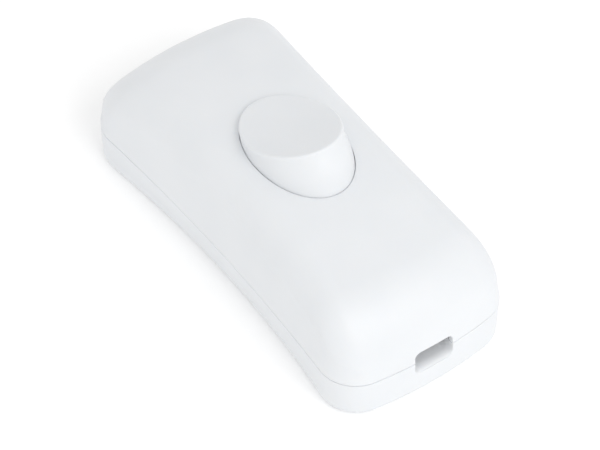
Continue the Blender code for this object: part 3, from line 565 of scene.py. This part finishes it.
def lower_shell(finish):
    shell = loft("lower_shell_skin", tray_rings())
    combine(shell, "UNION", [loft("lip", lower_rings(LIP_INSET, (PARTING_Z - 2 * MM, LIP_TOP)))])
    combine(shell, "DIFFERENCE", [loft("hollow", lower_rings(WALL, (FLOOR, PARTING_Z, PARTING_Z + 3 * MM)))])
    base = FLOOR / 2
    collar = (LENGTH / 2 - COLLAR_DEPTH, LENGTH / 2 - WALL / 2, COLLAR_HALF_WIDTH, PARTING_Z - SEAM_END)
    ribs = [side_block(OFF_STOP_X, (-OFF_STOP_HALF_WIDTH, OFF_STOP_HALF_WIDTH), (base, OFF_STOP_TOP))]
    cuts = cord_slots()
    for end in (-1, 1):
        ribs += [end_rib(end, rib, base) for rib in (PARTITION, collar, *SADDLES)]
        for side in (-1, 1):
            along, across = [end * x for x in POCKET_X], [side * y for y in POCKET_Y]
            ribs.append(side_block(along, across, (base, POCKET_TOP)))
            x, y = end * CLAMP_X, side * CLAMP_SCREW_Y
            ribs.append(rod((x, y, base), (x, y, POST_TOP), POST_R))
            cuts.append(rod((x, y, POST_HOLE_LOW), (x, y, POST_TOP + MM), POST_HOLE_R))
    for x, y in boss_places():
        ribs.append(rod((x, y, base), (x, y, LIP_TOP), BOSS_R))
        cuts.append(rod((x, y, -MM), (x, y, LIP_TOP + MM), CLEARANCE_R))
        cuts.append(rod((x, y, -MM), (x, y, HEAD_RECESS_DEPTH), HEAD_RECESS_R))
    combine(shell, "UNION", ribs)
    return dress(shade(combine(shell, "DIFFERENCE", cuts)), "housing", "white_plastic", finish, "lower_shell")


# ---------------------------------------------------------------- rocker, plunger and spring


def tilted(piece):
    """Turns a piece made in the rocker's own frame, pivot at the origin, to its place at rest."""
    piece.data.transform(Matrix.Translation(PIVOT) @ Matrix.Rotation(-TILT, 4, "Y"))
    return piece


def wall_reach(across, y, z):
    """How far the rocker's wall stands from the pivot's axis at the height z above it, in the slice that
    passes the opening's rim at (across, y). The wall is an arc about the pivot wherever the tilt takes it
    past the rim, so the gap stays even, and nearly upright above and below. The swing fades out near the
    middle."""
    rim = upper_top(0.0)(across, y) - PIVOT.z
    swing = rim * math.sin(TILT) * across / math.hypot(across, WALL_FADE)
    inner, outer = across * math.cos(TILT) - swing, across * math.cos(TILT) + swing
    arc = math.sqrt(max(across**2 + rim**2 - z**2, 0.0))
    return min(max(arc, inner), outer) * (1 - WALL_DRAFT * z)


def rocker_ring(height_of, trim=0.0, inset=0.0):
    """A ring round the rocker. height_of gives the height above the pivot for a plan position x."""
    ring = []
    for across, y in oval(ROCKER_A, ROCKER_B):
        x = abs(across)
        # the wall's reach depends on the height, and the height on the reach
        for _ in range(8):
            z = height_of(x)
            x = wall_reach(abs(across), y, z)
        x = math.copysign(x * (1 - inset / ROCKER_A), across)
        ring.append((x, y * (1 - inset / ROCKER_B), z - trim))
    return ring


def rocker_top(x):
    return ROCKER_TOP + ROCKER_DISH * x * x


def rocker(finish):
    rings = []
    side_steps = 14
    for step in range(side_steps + 1):
        share = step / side_steps
        rings.append(
            rocker_ring(lambda x, s=share: -ROCKER_SKIRT + s * (rocker_top(x) - ROCKER_RIM + ROCKER_SKIRT))
        )
    for step in range(1, 9):
        angle = math.pi / 2 * step / 8
        inset = ROCKER_RIM * (1 - math.cos(angle))
        trim = ROCKER_RIM * (1 - math.sin(angle))
        rings.append(rocker_ring(rocker_top, trim, inset))
    body = loft("rocker_skin", rings)
    hollow = []
    low = -ROCKER_SKIRT - MM
    for share in (0.0, 0.5, 1.0):
        hollow.append(
            rocker_ring(lambda x, s=share: low + s * (rocker_top(x) - ROCKER_WALL - low), inset=ROCKER_WALL)
        )
    combine(body, "DIFFERENCE", [loft("rocker_hollow", hollow)])
    joined = [rod((0, 0, -STEM_END), (0, 0, STEM_TOP), STEM_R)]
    for side in (-1, 1):
        root = side * (ROCKER_B - ROCKER_WALL / 2)
        joined.append(rod((0, root, 0), (0, side * TRUNNION_END, 0), TRUNNION_R))
    combine(body, "UNION", joined)
    combine(body, "DIFFERENCE", [rod((0, 0, -STEM_END - MM), (0, 0, BORE_TOP), BORE_R)])
    return dress(shade(tilted(body)), "rocker", "white_plastic", finish, "rocker")


def plunger(finish):
    """Nylon pin: a spigot inside the spring, a body in the stem's bore and a round nose on the bridge."""
    edge = TURNED_EDGE
    nose = PLUNGER_TIP - 2 * PLUNGER_TIP_R
    profile = [(END_FLAT, -SPIGOT_TOP), (SPIGOT_R - edge, -SPIGOT_TOP), (SPIGOT_R, -SPIGOT_TOP - edge)]
    profile += [(SPIGOT_R, -PLUNGER_SHOULDER + edge), (SPIGOT_R + edge, -PLUNGER_SHOULDER)]
    profile += [(PLUNGER_R - edge, -PLUNGER_SHOULDER), (PLUNGER_R, -PLUNGER_SHOULDER - edge)]
    profile += [(PLUNGER_R, -nose + edge), (PLUNGER_R - edge, -nose - 0.1 * MM)]
    for step in range(13):
        angle = DOME_SWEEP * step / 12
        lift = PLUNGER_TIP_R * (1 - math.sin(angle))
        profile.append((PLUNGER_TIP_R * math.cos(angle), -PLUNGER_TIP + lift))
    made = shade(tilted(turned("plunger_skin", profile)))
    return dress(made, "plunger", "natural_nylon", finish, "plunger")


def rocker_spring(finish):
    """Compression coil with a closed turn at each end, between the rocker and the plunger."""
    seat_gap = 0.15 * MM
    low = -PLUNGER_SHOULDER + seat_gap + COIL_WIRE_R
    high = BORE_TOP - seat_gap - COIL_WIRE_R
    closed = 2.1 * COIL_WIRE_R  # the rise of a closed turn
    per_turn, around = 32, 10
    rings = []
    for i in range(COIL_TURNS * per_turn + 1):
        turns = i / per_turn
        open_share = min(max((turns - 1) / (COIL_TURNS - 2), 0.0), 1.0)
        ends = min(turns, 1.0) + max(turns - COIL_TURNS + 1, 0.0)
        z = low + closed * ends + (high - low - 2 * closed) * open_share
        out = Vector((math.cos(2 * math.pi * turns), math.sin(2 * math.pi * turns), 0.0))
        ring = []
        for j in range(around):
            angle = 2 * math.pi * j / around
            point = out * (COIL_R + COIL_WIRE_R * math.cos(angle))
            ring.append(point + Vector((0.0, 0.0, z + COIL_WIRE_R * math.sin(angle))))
        rings.append(ring)
    made = shade(tilted(loft("rocker_spring_coil", rings, flat_caps=True)))
    made.data.materials.append(finish)
    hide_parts("rocker_spring")
    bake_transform(made)


# ---------------------------------------------------------------- screws and contacts


def head_profile(radius, height):
    """Pan head from its underside edge to the middle of its top, as (radius, z)."""
    edge = TURNED_EDGE
    rim = 0.4 * height
    profile = [(radius - edge, 0.0), (radius - 0.3 * edge, 0.3 * edge), (radius, edge), (radius, rim)]
    for step in range(1, 11):
        angle = DOME_SWEEP * step / 10
        profile.append((radius * math.cos(angle) ** 0.55, rim + (height - rim) * math.sin(angle)))
    return profile


def screw(node, finish, thread_r, length, pitch, pointed, down=True):
    """A slotted pan-head screw in the place of a CAD screw: its head fills the CAD head's box, and its shank
    carries a real helical thread. Down means that its point is below its head."""
    low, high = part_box(node)
    head_r = (high.x - low.x) / 2
    head_h = high.z - low.z - length
    core_r = 0.76 * thread_r
    tip_length = (2.2 if pointed else 0.5) * thread_r
    tip_share = 0.12 if pointed else 0.7
    run_out = 0.6 * pitch
    steps, rows_per_turn = 40, 10
    rings = []
    rows = round(length / pitch * rows_per_turn)
    for row in range(rows + 1):
        z = -length + length * row / rows
        tip = min((z + length) / tip_length, 1.0)
        fade = tip * min(-z / run_out, 1.0)
        body_r = core_r * (tip_share + (1 - tip_share) * tip)
        ring = []
        for i in range(steps):
            angle = 2 * math.pi * i / steps
            share = (z / pitch - i / steps) % 1.0
            from_crest = abs(share - 0.5) * 2
            # the crest is flat up to 0.1, the flank slopes down to 0.6, and the root is flat beyond
            crest = min(max((0.6 - from_crest) / 0.5, 0.0), 1.0)
            radius = body_r + (thread_r - core_r) * crest * fade
            ring.append((radius * math.cos(angle), radius * math.sin(angle), z))
        rings.append(ring)
    for radius, z in head_profile(head_r, head_h):
        rings.append(circle(radius, z, steps))
    made = loft(node + "_threaded", rings, flat_caps=True)
    slot_half, slot_low = 0.17 * head_r, 0.45 * head_h
    slot = block((-2 * head_r, -slot_half, slot_low), (2 * head_r, slot_half, 2 * head_h))
    combine(made, "DIFFERENCE", [slot])
    flip = Matrix.Identity(4) if down else Matrix.Rotation(math.pi, 4, "X")
    head_z = high.z - head_h if down else low.z + head_h
    place = Vector(((low.x + high.x) / 2, (low.y + high.y) / 2, head_z))
    made.data.transform(Matrix.Translation(place) @ flip)
    return dress(shade(made), "housing", "zinc_steel", finish, node)


def contact(node, body, finish, head_down):
    """A contact rivet in the place of a CAD rivet: a domed head, a shank and an upset end."""
    low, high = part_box(node)
    length, radius = high.z - low.z, (high.x - low.x) / 2
    head = 0.7 * MM
    under_head = -length + head + 0.03 * MM
    shank_r = 0.55 * MM
    profile = [(END_FLAT, -length)]
    for step in range(1, 13):
        angle = math.pi / 2 * step / 12
        profile.append((radius * math.sin(angle), -length + head * (1 - math.cos(angle) ** 1.6)))
    profile += [(radius - 0.06 * MM, under_head), (shank_r, under_head)]
    profile += [(shank_r, -0.38 * MM), (0.98 * MM, -0.35 * MM), (1.05 * MM, -0.25 * MM)]
    profile += [(0.98 * MM, -0.08 * MM), (0.8 * MM, 0.0), (END_FLAT, 0.0)]
    made = turned(node + "_turned", profile)
    flip = Matrix.Identity(4) if head_down else Matrix.Rotation(math.pi, 4, "X")
    place = Vector(((low.x + high.x) / 2, 0.0, high.z if head_down else low.z))
    made.data.transform(Matrix.Translation(place) @ flip)
    return dress(shade(made), body, "contact_silver", finish, node)


# ---------------------------------------------------------------- materials


def node_material(name, colour, roughness, metallic=0.0):
    made = bpy.data.materials.new(name)
    made.use_nodes = True
    shader = made.node_tree.nodes["Principled BSDF"]
    shader.inputs["Base Color"].default_value = (*colour, 1.0)
    shader.inputs["Roughness"].default_value = roughness
    shader.inputs["Metallic"].default_value = metallic
    return made


def noise(made, scale, detail, stretch=(1.0, 1.0, 1.0)):
    """A noise value in the piece's own space. scale is in features per millimetre."""
    tree = made.node_tree
    place = tree.nodes.new("ShaderNodeTexCoord")
    mapping = tree.nodes.new("ShaderNodeMapping")
    mapping.inputs["Scale"].default_value = stretch
    texture = tree.nodes.new("ShaderNodeTexNoise")
    texture.inputs["Scale"].default_value = scale / MM
    texture.inputs["Detail"].default_value = detail
    tree.links.new(place.outputs["Object"], mapping.inputs["Vector"])
    tree.links.new(mapping.outputs["Vector"], texture.inputs["Vector"])
    return texture.outputs["Fac"]


def ramp(made, value, low, high, first, last):
    """Maps a value between low and high onto the range first to last."""
    node = made.node_tree.nodes.new("ShaderNodeMapRange")
    node.inputs["From Min"].default_value = low
    node.inputs["From Max"].default_value = high
    node.inputs["To Min"].default_value = first
    node.inputs["To Max"].default_value = last
    made.node_tree.links.new(value, node.inputs["Value"])
    return node.outputs["Result"]


def tint(made, value, first, last):
    """Base colour that runs between two colours with a value."""
    node = made.node_tree.nodes.new("ShaderNodeMix")
    node.data_type = "RGBA"
    node.inputs["A"].default_value = (*first, 1.0)
    node.inputs["B"].default_value = (*last, 1.0)
    made.node_tree.links.new(value, node.inputs["Factor"])
    shader = made.node_tree.nodes["Principled BSDF"]
    made.node_tree.links.new(node.outputs["Result"], shader.inputs["Base Color"])


def bump(made, value, depth, below=None):
    """Surface relief of this depth, added to the relief below it, if there is one."""
    node = made.node_tree.nodes.new("ShaderNodeBump")
    node.inputs["Strength"].default_value = 1.0
    node.inputs["Distance"].default_value = depth
    made.node_tree.links.new(value, node.inputs["Height"])
    if below:
        made.node_tree.links.new(below, node.inputs["Normal"])
    shader = made.node_tree.nodes["Principled BSDF"]
    made.node_tree.links.new(node.outputs["Normal"], shader.inputs["Normal"])
    return node.outputs["Normal"]


def gloss(made, value, low, high, first, last):
    shader = made.node_tree.nodes["Principled BSDF"]
    made.node_tree.links.new(ramp(made, value, low, high, first, last), shader.inputs["Roughness"])


def white_plastic():
    """Satin moulded plastic: a fine spark-eroded grain, faint flow mottling and a little translucence."""
    made = node_material("white_plastic_satin", (0.78, 0.797, 0.816), 0.42)
    shader = made.node_tree.nodes["Principled BSDF"]
    shader.inputs["IOR"].default_value = 1.5
    shader.inputs["Subsurface Weight"].default_value = 0.15
    shader.inputs["Subsurface Radius"].default_value = (1.0, 0.9, 0.8)
    shader.inputs["Subsurface Scale"].default_value = 0.6 * MM
    mottling = ramp(made, noise(made, 0.12, 3.0), 0.3, 0.7, 0.0, 1.0)
    tint(made, mottling, (0.768, 0.787, 0.808), (0.79, 0.806, 0.824))
    gloss(made, noise(made, 0.5, 4.0), 0.3, 0.7, 0.38, 0.48)
    broad = bump(made, noise(made, 0.10, 2.0), 0.02 * MM)
    bump(made, noise(made, 9.0, 3.0), 0.006 * MM, below=broad)
    return made


def nylon():
    """Natural nylon: waxy, slightly yellow and translucent."""
    made = node_material("natural_nylon_waxy", (0.80, 0.79, 0.72), 0.5)
    shader = made.node_tree.nodes["Principled BSDF"]
    shader.inputs["Subsurface Weight"].default_value = 0.5
    shader.inputs["Subsurface Radius"].default_value = (1.0, 0.85, 0.6)
    shader.inputs["Subsurface Scale"].default_value = 1.2 * MM
    tint(made, noise(made, 0.4, 3.0), (0.78, 0.765, 0.69), (0.83, 0.82, 0.76))
    gloss(made, noise(made, 1.5, 4.0), 0.3, 0.7, 0.42, 0.58)
    bump(made, noise(made, 5.0, 3.0), 0.008 * MM)
    return made


def brass():
    """Stamped strip brass: rolling lines along X, dulled patches and fine tool marks."""
    made = node_material("stamped_brass", (0.78, 0.57, 0.25), 0.3, 1.0)
    patches = ramp(made, noise(made, 0.5, 5.0), 0.35, 0.7, 0.0, 1.0)
    tint(made, patches, (0.80, 0.60, 0.27), (0.62, 0.43, 0.19))
    gloss(made, noise(made, 1.2, 5.0), 0.3, 0.7, 0.22, 0.42)
    bump(made, noise(made, 12.0, 2.0, (0.06, 1.0, 1.0)), 0.002 * MM)
    return made


def silver():
    """Silver contact faces, lightly tarnished in patches."""
    made = node_material("contact_silver_satin", (0.86, 0.85, 0.82), 0.25, 1.0)
    tarnish = ramp(made, noise(made, 1.0, 4.0), 0.4, 0.7, 0.0, 1.0)
    tint(made, tarnish, (0.88, 0.87, 0.84), (0.70, 0.66, 0.58))
    gloss(made, noise(made, 2.5, 4.0), 0.3, 0.7, 0.18, 0.34)
    bump(made, noise(made, 14.0, 2.0), 0.003 * MM)
    return made


def zinc_steel():
    """Bright zinc-plated screws: a cool grey with faint blue and straw clouds."""
    made = node_material("zinc_plated_steel", (0.66, 0.67, 0.68), 0.3, 1.0)
    clouds = ramp(made, noise(made, 0.7, 4.0), 0.35, 0.65, 0.0, 1.0)
    tint(made, clouds, (0.64, 0.67, 0.71), (0.72, 0.70, 0.64))
    gloss(made, noise(made, 2.0, 5.0), 0.3, 0.7, 0.24, 0.40)
    bump(made, noise(made, 10.0, 3.0), 0.004 * MM)
    return made


def spring_steel():
    """Drawn spring wire: dark, with fine drawing lines."""
    made = node_material("drawn_spring_wire", (0.45, 0.45, 0.46), 0.3, 1.0)
    tint(made, noise(made, 1.5, 3.0), (0.40, 0.40, 0.42), (0.50, 0.50, 0.50))
    gloss(made, noise(made, 4.0, 4.0), 0.3, 0.7, 0.22, 0.40)
    bump(made, noise(made, 18.0, 2.0, (1.0, 1.0, 0.2)), 0.003 * MM)
    return made


def dress(piece, body, slot, finish, *nodes):
    """Gives a new piece its material and its body, and hides the CAD nodes that it stands for."""
    piece.data.materials.clear()
    piece.data.materials.append(finish)
    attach(piece, body)
    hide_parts(*nodes)
    return piece


def keep_node(node, finish, edge):
    """Shows a CAD node as it is, with softened edges and a better material."""
    piece = frame["nodes"][node]
    piece.data.materials.clear()
    piece.data.materials.append(finish)
    weld = piece.modifiers.new("weld", "WELD")
    weld.merge_threshold = 1e-6
    bevel = piece.modifiers.new("edges", "BEVEL")
    bevel.width = edge
    bevel.segments = 2
    bevel.limit_method = "ANGLE"
    bevel.angle_limit = math.radians(40)
    bevel.harden_normals = True


# ---------------------------------------------------------------- stage


def floor(glow):
    """A wide pale sheet that the switch stands on. It glows a little, as a lit backdrop does."""
    bm = bmesh.new()
    bmesh.ops.create_grid(bm, x_segments=1, y_segments=1, size=3.0)
    made = mesh_object("studio_floor", bm)
    made.location.z = CAD_BOX[0].z - 0.02 * MM
    paper = node_material("floor_paper", (0.93, 0.93, 0.93), 0.9)
    shader = paper.node_tree.nodes["Principled BSDF"]
    shader.inputs["Specular IOR Level"].default_value = 0.1
    shader.inputs["Emission Color"].default_value = (1.0, 1.0, 1.0, 1.0)
    shader.inputs["Emission Strength"].default_value = glow
    made.data.materials.append(paper)


def area_light(name, azimuth, elevation, distance, size, energy):
    """A square soft box that faces the switch. Azimuth 0 stands towards +X, 90 towards +Y."""
    a, e = math.radians(azimuth), math.radians(elevation)
    away = Vector((math.cos(a) * math.cos(e), math.sin(a) * math.cos(e), math.sin(e)))
    light = bpy.data.lights.new(name, "AREA")
    light.shape = "SQUARE"
    light.size = size
    light.energy = energy
    made = bpy.data.objects.new(name, light)
    made.location = away * distance
    made.rotation_euler = away.to_track_quat("Z", "Y").to_euler()
    bpy.context.scene.collection.objects.link(made)


def sky(strength):
    world = bpy.data.worlds.new("studio_white")
    world.use_nodes = True
    background = world.node_tree.nodes["Background"]
    background.inputs["Color"].default_value = (1.0, 1.0, 1.0, 1.0)
    background.inputs["Strength"].default_value = strength
    bpy.context.scene.world = world


def camera():
    """Long lens from above the near left corner. It looks a little below the switch's middle."""
    azimuth, elevation, roll = math.radians(54.28), math.radians(49.68), math.radians(0.18)
    distance = 0.625
    middle = Vector((0.0, 0.0, 8.5 * MM))
    level = math.cos(elevation)
    back = Vector((math.sin(azimuth) * level, -math.cos(azimuth) * level, math.sin(elevation)))
    right = Vector((math.cos(azimuth), math.sin(azimuth), 0.0))
    up = back.cross(right)
    lens = bpy.data.cameras.new("camera")
    lens.sensor_width = 36.0
    lens.lens = 285.0
    made = bpy.data.objects.new("camera", lens)
    made.location = middle + back * distance
    aim = middle + right * 0.41 * MM - up * 3.6 * MM
    turn = (made.location - aim).to_track_quat("Z", "Y") @ Matrix.Rotation(roll, 3, "Z").to_quaternion()
    made.rotation_mode = "QUATERNION"
    made.rotation_quaternion = turn
    lens.clip_start, lens.clip_end = 0.05, 20.0
    bpy.context.scene.collection.objects.link(made)
    bpy.context.scene.camera = made


camera()
sky(strength=0.845)
area_light("key_softbox", azimuth=0, elevation=45, distance=1.0, size=0.6, energy=3.1)
floor(glow=0.13)
bpy.context.scene.view_settings.view_transform = "Standard"

WHITE, NYLON, BRASS, SILVER = white_plastic(), nylon(), brass(), silver()
STEEL, SPRING_STEEL = zinc_steel(), spring_steel()

upper_shell(WHITE)
lower_shell(WHITE)
rocker(WHITE)
for node in ("live_in_terminal", "live_out_terminal", "neutral_bar", "contact_bridge"):
    keep_node(node, BRASS, 0.08 * MM)
for node in ("cord_clamp_far", "cord_clamp_near"):
    keep_node(node, NYLON, 0.12 * MM)
plunger(NYLON)
rocker_spring(SPRING_STEEL)
contact("moving_contact", "contact_bridge", SILVER, head_down=True)
contact("fixed_contact", "housing", SILVER, head_down=False)
SCREW_KINDS = {
    "terminal_screw": dict(thread_r=1.4 * MM, length=2.5 * MM, pitch=0.5 * MM, pointed=False),
    "cord_clamp_screw": dict(thread_r=1.1 * MM, length=6.0 * MM, pitch=0.9 * MM, pointed=True),
    "housing_screw": dict(thread_r=1.4 * MM, length=9.6 * MM, pitch=1.1 * MM, pointed=True, down=False),
}
for node in sorted(frame["nodes"]):
    for kind, values in SCREW_KINDS.items():
        if node.startswith(kind):
            screw(node, STEEL, **values)
